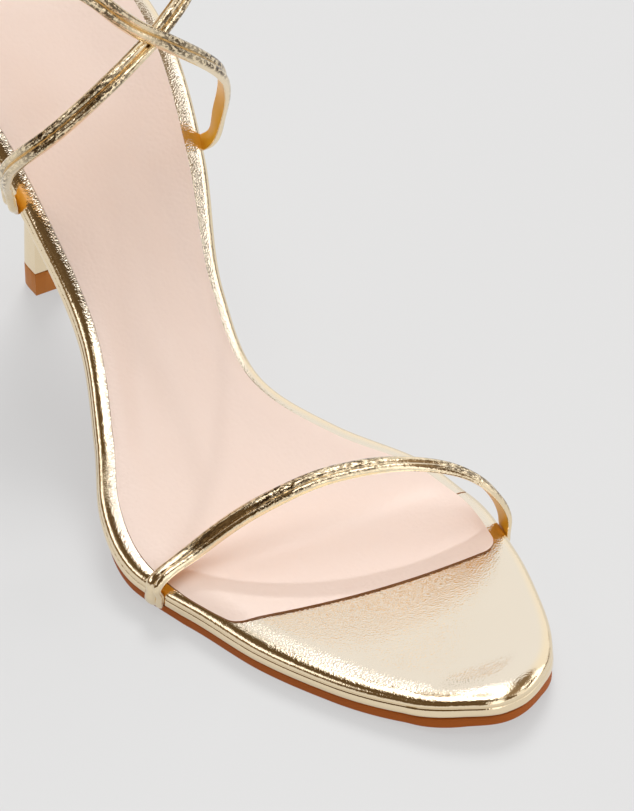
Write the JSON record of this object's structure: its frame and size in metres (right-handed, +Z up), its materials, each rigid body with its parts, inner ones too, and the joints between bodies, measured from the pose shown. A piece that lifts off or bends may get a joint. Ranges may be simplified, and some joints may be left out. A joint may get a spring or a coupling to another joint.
{
  "type": "strappy heeled sandal",
  "caption": "Slim-heeled open sandal for the right foot, with a rounded toe strap and two rolled straps that cross over the instep and close in a loop round the ankle.",
  "frame": {"origin": "on the floor, under the middle of the sandal's box", "axes": "+Z up; toe towards -Y, heel towards +Y; the foot's inner (big toe) side towards +X"},
  "size_m": [0.083, 0.2236, 0.1377],
  "materials": {
    "insole": "smooth pale gold foil leather wrapped round the board, mirror-like on its rounded edge",
    "sock_lining": "pale nude lining leather with a fine pebble grain and a slight sheen",
    "outsole": "tan sole with a smooth dyed edge",
    "heel": "pale gold foil leather wrapped round a moulded core",
    "heel_top_piece": "tan, satin",
    "toe_strap": "mirror-like gold foil leather over a soft core, crinkled, with a golden yellow lining",
    "ankle_straps": "mirror-like gold foil leather over soft cores, crinkled, with a golden yellow lining",
    "buckle_frame": "polished, pale gold",
    "buckle_prong": "polished, pale gold",
    "strap_keeper": "pale gold foil leather"
  },
  "bodies": {
    "root": {"insole": "insole", "sock_lining": "sock_lining", "outsole": "outsole", "heel": "heel", "heel_top_piece": "heel_top_piece", "toe_strap": "toe_strap", "ankle_straps": "ankle_straps", "buckle_frame": "buckle_frame", "buckle_prong": "buckle_prong", "strap_keeper": "strap_keeper"}
  },
  "joints": []
}
